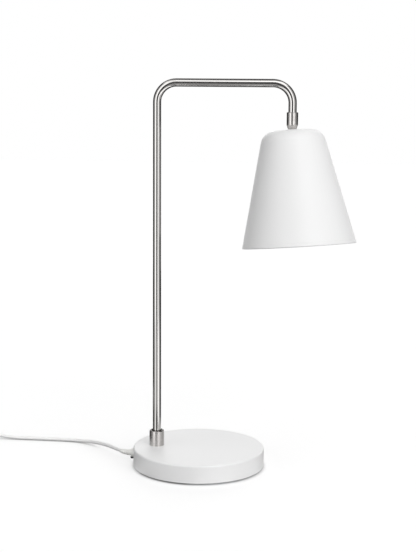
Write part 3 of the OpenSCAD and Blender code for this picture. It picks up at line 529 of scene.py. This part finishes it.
# %% Assign the finishes
FINISHES = {
    base_coat: ["base_cover"],
    shade_coat: ["shade"],
    tube_steel: ["lamp_tube"],
    turned_steel: ["pole_collar", "swivel_cup", "swivel_hub"],
    polished_ball: ["ball_stem"],
    cast_iron: ["base_weight"],
    sheet: ["bottom_plate"],
    zinc_plate: ["weight_nuts", "plate_screws", "collar_nut", "clamp_screws", "wave_washer",
                 "tab_washer", "foot_nut", "swivel_nut", "swivel_washer", "seat_spring",
                 "shade_washer", "shade_nut", "holder_screws", "switch_screws"],
    brass: ["foot_nipple", "end_nipple", "holder_contacts"],
    nickel: ["plug_pins"],
    white_abs: ["holder_cap", "holder_barrel", "switch_bottom", "switch_top", "switch_rocker",
                "plug_body"],
    white_sleeve: ["strain_relief"],
    ivory_nylon: ["cord_clamp", "clamp_bar", "ball_seat", "wire_caps"],
    black_nylon: ["pin_sleeves"],
    strap_nylon: ["coil_tie"],
    cord_pvc: ["base_lead", "tube_cable"],
    core_pvc: ["base_cores", "drop_cores", "head_cores"],
    foam: ["foot_pad"],
}
REPLACED = {"cord_lead", "cord_link", "cord_tail", "cord_coil"}


def dress(piece, finish):
    """Gives a piece one finish in all its material slots."""
    if not piece.material_slots:
        piece.data.materials.append(finish)
    for slot in piece.material_slots:
        slot.material = finish


for finish, names in FINISHES.items():
    for name in names:
        dress(frame["nodes"][name], finish)
dress(mains_cord, cord_pvc)
dressed = {name for names in FINISHES.values() for name in names}
print("pieces dressed:", len(dressed), "and still plain:",
      sorted(set(frame["nodes"]) - dressed - REPLACED))

# %% [markdown]
# ## The thread in the lampholder
# The lampholder is lined with a brass shell, pressed with the rounded thread that a small bulb
# screws into, one turn every 2.82 mm. The engineering model leaves that bore smooth. A screw
# modifier could wind it, but a wave that turns as it rises is a short sum: the surface is a grid
# of points round the axis, and each stands out by the cosine of its height less its angle. The
# shell has an inner skin, an outer skin and two rims, so it is a closed solid.

# %% Lampholder shell
THREAD_PITCH = 2.82 * MM
THREAD_DEPTH = 0.28 * MM
SHELL_R = 6.45 * MM
SHELL_T = 0.22 * MM
SHELL_SIDES = 36
ROWS_PER_TURN = 8


def plain_mesh(name, points, faces):
    """A mesh object from lists of points and faces."""
    mesh = bpy.data.meshes.new(name)
    mesh.from_pydata(points, [], faces)
    piece = bpy.data.objects.new(name, mesh)
    bpy.context.scene.collection.objects.link(piece)
    return piece


def knuckle_thread(name, centre, axis, length):
    """A thin tube with a rounded screw thread."""
    lean = axis.to_track_quat("Z", "Y").to_matrix()
    rows = round(length / THREAD_PITCH * ROWS_PER_TURN) + 1
    points, faces = [], []
    for skin in (0, SHELL_T):
        for i in range(rows):
            height = length * (i / (rows - 1) - 0.5)
            for k in range(SHELL_SIDES):
                turn = 2 * math.pi * k / SHELL_SIDES
                wave = math.cos(2 * math.pi * height / THREAD_PITCH - turn)
                radius = SHELL_R + THREAD_DEPTH * wave + skin
                points.append(centre + lean @ Vector((radius * math.cos(turn),
                                                      radius * math.sin(turn), height)))
    outer = rows * SHELL_SIDES
    top = (rows - 1) * SHELL_SIDES
    for k in range(SHELL_SIDES):
        n = (k + 1) % SHELL_SIDES
        for i in range(rows - 1):
            low, high = i * SHELL_SIDES, (i + 1) * SHELL_SIDES
            faces.append((low + k, high + k, high + n, low + n))
            faces.append((outer + low + k, outer + low + n, outer + high + n, outer + high + k))
        faces.append((k, n, outer + n, outer + k))
        faces.append((top + k, outer + top + k, outer + top + n, top + n))
    shell = plain_mesh(name, points, faces)
    shell.data.shade_smooth()
    return shell


socket = next(m for m in frame["record"]["mounts"] if m["name"] == "bulb_socket")
socket_shell = knuckle_thread("socket_shell", Vector(socket["pos_m"]), Vector(socket["axis"]),
                              socket["dims"]["length_mm"] * MM)
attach(socket_shell, "head")
dress(socket_shell, brass)
print("socket shell:", len(socket_shell.data.polygons), "faces")

# %% [markdown]
# ## The screw that grips the cord
# Below the strain relief, a black nylon screw pinches the cord, so that a pull on it stops there.
# Its black head also puts a dark spot under the strain relief, where there is shade: painted shade.
# From outside only its round head shows, with a recess for the driver. It could be cut from a
# cylinder with a boolean, but a turned piece is simpler as its outline spun round an axis, which
# also leaves the recess.

# %% Cord grip screw
SCREW_PROFILE = [(0, 1.0), (1.9, 1.0), (1.9, -1.0), (1.6, -1.3), (0.8, -1.3), (0.7, -0.2),
                 (0, -0.2)]  # radius and height in millimetres
SCREW_SIDES = 24
SCREW_OUT = 3.1 * MM


def direction(azimuth, elevation):
    """The unit vector towards a place in the sky. Azimuth is from +X towards +Y, in degrees."""
    turn, rise = math.radians(azimuth), math.radians(elevation)
    return Vector((math.cos(rise) * math.cos(turn), math.cos(rise) * math.sin(turn),
                   math.sin(rise)))


def turned_piece(name, centre, profile_mm, sides):
    """A solid turned round an upright axis, from a profile that starts and ends on it."""
    points = [centre + Vector((0, 0, profile_mm[0][1])) * MM]
    for radius, height in profile_mm[1:-1]:
        points += [centre + (direction(360 * k / sides, 0) * radius + Vector((0, 0, height))) * MM
                   for k in range(sides)]
    points.append(centre + Vector((0, 0, profile_mm[-1][1])) * MM)
    rings = len(profile_mm) - 2
    last = 1 + (rings - 1) * sides
    faces = []
    for k in range(sides):
        n = (k + 1) % sides
        faces.append((0, 1 + k, 1 + n))
        for i in range(rings - 1):
            here, below = 1 + i * sides, 1 + (i + 1) * sides
            faces.append((here + k, below + k, below + n, here + n))
        faces.append((last + k, len(points) - 1, last + n))
    return plain_mesh(name, points, faces)


relief_low = Vector(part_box("strain_relief")[0])
base_low = Vector(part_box("base_cover")[0])
shade_spot_grip_screw = turned_piece("shade_spot_grip_screw", Vector((base_low.x - SCREW_OUT, 0, relief_low.z)),
                          SCREW_PROFILE, SCREW_SIDES)
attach(shade_spot_grip_screw, "base")
# painted shade: the screw's black head stands for the shade below the strain relief
dress(shade_spot_grip_screw, black_nylon)
print("grip screw at", [round(v, 4) for v in shade_spot_grip_screw.data.vertices[0].co])

# %% [markdown]
# ## White to look at, dim as a light
# The floor and the room have to look white to the camera, in the steel and through glass, and
# yet light the lamp no more than a plain studio does. The background could be swapped for white
# afterwards, but then the steel would mirror another room than the one behind it. So each
# surface asks what kind of ray has met it, and answers in one of two ways.

# %% Kinds of ray
def seen_directly(tree):
    """1 where a ray comes from the camera or from a mirror or glass, and 0 for other rays."""
    rays = add_node(tree, "ShaderNodeLightPath")
    mirror = add_node(tree, "ShaderNodeMath", {
        0: rays.outputs["Is Camera Ray"], 1: rays.outputs["Is Glossy Ray"]}, operation="MAXIMUM")
    glass = add_node(tree, "ShaderNodeMath", {
        0: mirror.outputs["Value"], 1: rays.outputs["Is Transmission Ray"]}, operation="MAXIMUM")
    return glass.outputs["Value"]


def bare_material(name):
    """A material with an empty tree."""
    material = bpy.data.materials.new(name)
    material.use_nodes = True
    material.node_tree.nodes.clear()
    return material, material.node_tree


print("rays that see white: camera, glossy and transmission")

# %% [markdown]
# ## The table
# The lamp stands on a white sweep, as products do for a catalogue. A lit white floor never comes
# out quite even, so the floor here is part paint and part glow: the paint takes the soft shadow
# that ties the base to the table, and the glow, which only the camera, mirrors and glass can see,
# lifts the rest to white. The glow lights nothing, so the lamp's own colours stay true. The light
# that the floor throws back up onto the lamp is set by itself.

# %% Floor
def white_sweep(paint, glow, fade_mm, bounce):
    """Floor finish: paint that takes shadows, glow on top, and how much light it throws back.

    Like real light, the glow fades where something stands close above the floor."""
    material, tree = bare_material("white_sweep")
    seen = seen_directly(tree)
    paint_tone = add_node(tree, "ShaderNodeMix", {
        "Factor": seen, "A": (bounce, bounce, bounce, 1), "B": (paint, paint, paint, 1)},
        data_type="RGBA")
    diffuse = add_node(tree, "ShaderNodeBsdfDiffuse", {"Color": paint_tone.outputs["Result"]})
    open_sky = add_node(tree, "ShaderNodeAmbientOcclusion", {"Distance": fade_mm * MM})
    level = add_node(tree, "ShaderNodeMath", {
        0: open_sky.outputs["AO"], 1: glow}, operation="MULTIPLY")
    strength = add_node(tree, "ShaderNodeMath", {
        0: seen, 1: level.outputs["Value"]}, operation="MULTIPLY")
    light = add_node(tree, "ShaderNodeEmission", {"Strength": strength.outputs["Value"]})
    both = add_node(tree, "ShaderNodeAddShader", {
        0: diffuse.outputs["BSDF"], 1: light.outputs["Emission"]})
    add_node(tree, "ShaderNodeOutputMaterial", {"Surface": both.outputs["Shader"]})
    return material


FLOOR_HALF = 6.0
FLOOR_DROP = 0.2 * MM  # keeps the floor's face from lying in the same place as the pad's
floor = plain_mesh("floor", [(-FLOOR_HALF, -FLOOR_HALF, 0), (FLOOR_HALF, -FLOOR_HALF, 0),
                             (FLOOR_HALF, FLOOR_HALF, 0), (-FLOOR_HALF, FLOOR_HALF, 0)],
                   [(0, 1, 2, 3)])
floor.location.z = -FLOOR_DROP
dress(floor, white_sweep(paint=0.5, glow=0.575, fade_mm=5, bounce=0.3))
print("floor:", FLOOR_HALF * 2, "m wide")

# %% [markdown]
# ## The room
# Round the table is a white room. Seen by the camera or in a mirror it is plain white, and as a
# light it is dimmer, because a room that lit the lamp at full white would leave it no shading. An
# image of a real studio could light it too, but a plain one needs no more than an even level.

# %% World
def white_room(level):
    """World light: white to look at and in mirrors, and a plain level on surfaces."""
    world = bpy.data.worlds.new("white_room")
    world.use_nodes = True
    bpy.context.scene.world = world
    tree = world.node_tree
    strength = add_node(tree, "ShaderNodeMapRange", {
        "Value": seen_directly(tree), "To Min": level, "To Max": 1.0})
    background = tree.nodes["Background"]
    background.inputs["Color"].default_value = (1, 1, 1, 1)
    tree.links.new(strength.outputs["Result"], background.inputs["Strength"])


ROOM_LEVEL = 0.37
white_room(ROOM_LEVEL)
print("room level:", ROOM_LEVEL)

# %% [markdown]
# ## Lamps
# The lamps stand far away and are very wide, like big soft boxes, so light falls evenly on the
# whole table and shadows have no edge. Area lamps would fall off across the scene, so they are
# suns with a wide angle. The main one is in front, to the right, with a weaker one above it. One
# more stands at the right, one at the left, and one behind for the far side of shade and base.

# %% Lamps
LAMP_WIDTH = 50  # degrees of sky
LAMPS = {  # azimuth and elevation in degrees, and strength
    "key_light": (-60, 20, 1.17),
    "high_light": (-60, 50, 0.42),
    "right_light": (-20, 20, 0.70),
    "back_light": (90, 20, 1.18),
    "left_light": (-150, 20, 0.62),
}


def soft_sun(name, azimuth, elevation, strength):
    """A wide lamp far away."""
    data = bpy.data.lights.new(name, "SUN")
    data.energy = strength
    data.angle = math.radians(LAMP_WIDTH)
    lamp = bpy.data.objects.new(name, data)
    lamp.rotation_euler = direction(azimuth, elevation).to_track_quat("Z", "Y").to_euler()
    bpy.context.scene.collection.objects.link(lamp)


for name, (azimuth, elevation, strength) in LAMPS.items():
    soft_sun(name, azimuth, elevation, strength)
print("lamps:", sorted(LAMPS))

# %% [markdown]
# ## A card for the steel
# Bare steel shows its surroundings more than a colour of its own, and in an all-white room a
# tube would vanish. So a studio stands cards and soft boxes round it. They could be flat planes,
# but gaps between those would show as white lines, so each is a strip bent round the pole, given
# by two angles and by its outline, a list of radius and height. It glows by its own tone, so no
# lamp has to light it. Only reflections see it, so it is also left out when light is sampled.

# %% One card
CARD_STEP = 6  # degrees from one corner of a card to the next
collar_low, collar_high = (Vector(corner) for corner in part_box("pole_collar"))
ring_centre = Vector(((collar_low.x + collar_high.x) / 2, (collar_low.y + collar_high.y) / 2, 0))


def card(name, turn_from, turn_to, profile, tone):
    """A card bent round the pole. A tone of 1 is white."""
    steps = max(1, round((turn_to - turn_from) / CARD_STEP))
    points, faces = [], []
    for i in range(steps + 1):
        turn = turn_from + (turn_to - turn_from) * i / steps
        points += [ring_centre + direction(turn, 0) * radius + Vector((0, 0, height))
                   for radius, height in profile]
    row = len(profile)
    for i in range(steps):
        for k in range(row - 1):
            corner = i * row + k
            faces.append((corner, corner + row, corner + row + 1, corner + 1))
    piece = plain_mesh(name, points, faces)
    material, tree = bare_material(name + "_surface")
    glow = add_node(tree, "ShaderNodeEmission", {"Color": (tone, tone, tone, 1)})
    add_node(tree, "ShaderNodeOutputMaterial", {"Surface": glow.outputs["Emission"]})
    material.cycles.emission_sampling = "NONE"
    dress(piece, material)
    piece.visible_camera = False
    piece.visible_diffuse = False
    piece.visible_shadow = False
    piece.visible_transmission = False


print("cards stand round the pole at", [round(v, 4) for v in ring_centre])

# %% [markdown]
# ## Outlines of the cards
# Cards stand upright in a ring, mats lie on the table from the pole out to the ring, and some
# cards hang flat overhead. All are the same kind of strip, so each outline is only a few pairs of
# radius and height in metres, and two outlines can be joined into one bent card. The mats lie a
# hair above the floor, and end where the tube's mirror image of the table changes tone.

# %% Outlines
RING_R = 1.6
RING_TOP = 2.2
CARD_MIDDLE = 0.55
CARD_TOP = 1.3
SOFT_BOX_TOP = 2.6
OVERHEAD_FRONT_R = 0.8
POLE_CLEAR = 0.03
MAT_NEAR = 0.25
MAT_MIDDLE = 0.9
MAT_Z = 0.001

near_mat = [(POLE_CLEAR, MAT_Z), (MAT_NEAR, MAT_Z)]
middle_mat = [(MAT_NEAR, MAT_Z), (MAT_MIDDLE, MAT_Z)]
foot_mat = [(POLE_CLEAR, MAT_Z), (MAT_MIDDLE, MAT_Z)]
far_mat = [(MAT_MIDDLE, MAT_Z), (RING_R, MAT_Z)]
upright = [(RING_R, MAT_Z), (RING_R, RING_TOP)]
low_upright = [(RING_R, MAT_Z), (RING_R, CARD_MIDDLE)]
middle_upright = [(RING_R, CARD_MIDDLE), (RING_R, CARD_TOP)]
high_upright = [(RING_R, CARD_TOP), (RING_R, SOFT_BOX_TOP)]
overhead = [(POLE_CLEAR, RING_TOP), (RING_R, RING_TOP)]
overhead_front = [(POLE_CLEAR, RING_TOP), (OVERHEAD_FRONT_R, RING_TOP)]
print("the ring is", 2 * RING_R, "m wide and", RING_TOP, "m high")

# %% [markdown]
# ## The ring of cards
# A dark card at the camera gives the dark line down the tube's middle, the soft boxes beside it
# give two bright bands, which fall off through pale and grey cards, and black ones behind give
# the dark edges. The tube's foot and the arm's underside don't mirror the cards but the table in
# front of them, so mats lie there that go on with the bands. The arm's upper side mirrors what
# is overhead: a soft box above the camera, then a grey card, and a dark one at the back.

# %% All cards
CARDS = [  # name, from and to in degrees, outline, tone
    ("mat_near_camera", -105, -57, near_mat, 0.05),
    ("mat_camera_middle", -105, -57, middle_mat, 0.45),
    ("mat_camera_far", -105, -65, far_mat, 0.08),
    ("card_camera", -105, -65, low_upright, 0.06),
    ("card_over_camera", -105, -65, middle_upright, 0.16),
    ("soft_box_above_camera", -105, -65, high_upright, 2.0),
    ("mat_right_bright", -57, -31, foot_mat, 2.0),
    ("mat_right_pale", -31, -5, foot_mat, 0.9),
    ("mat_right_grey", -5, 10, foot_mat, 0.4),
    ("soft_box_right", -65, -40, far_mat + upright, 1.8),
    ("card_right_pale", -40, -14, far_mat + upright, 0.6),
    ("card_right_grey", -14, 10, far_mat + upright, 0.25),
    ("card_right_black", 10, 55, near_mat + upright, 0.02),
    ("soft_box_behind", 55, 125, upright, 1.0),
    ("mat_behind", 55, 125, near_mat + far_mat, 0.02),
    ("card_left_black", 125, 175, near_mat + upright, 0.02),
    ("card_left_grey", 175, 199, near_mat + upright, 0.2),
    ("mat_left_pale", 199, 222, foot_mat, 0.43),
    ("mat_left_bright", 222, 255, foot_mat, 1.3),
    ("card_left_pale", 199, 222, far_mat + upright, 0.6),
    ("soft_box_left", 222, 255, far_mat + upright, 1.8),
    ("card_overhead", 10, 170, overhead, 0.04),
    ("card_overhead_front", 190, 350, overhead_front, 0.3),
]
for name, turn_from, turn_to, profile, tone in CARDS:
    card(name, turn_from, turn_to, profile, tone)
print("cards and mats:", len(CARDS))

# %% [markdown]
# ## Finish
# The render must show tones as they are written, so the view transform is Standard.

# %% View
bpy.context.scene.view_settings.view_transform = "Standard"
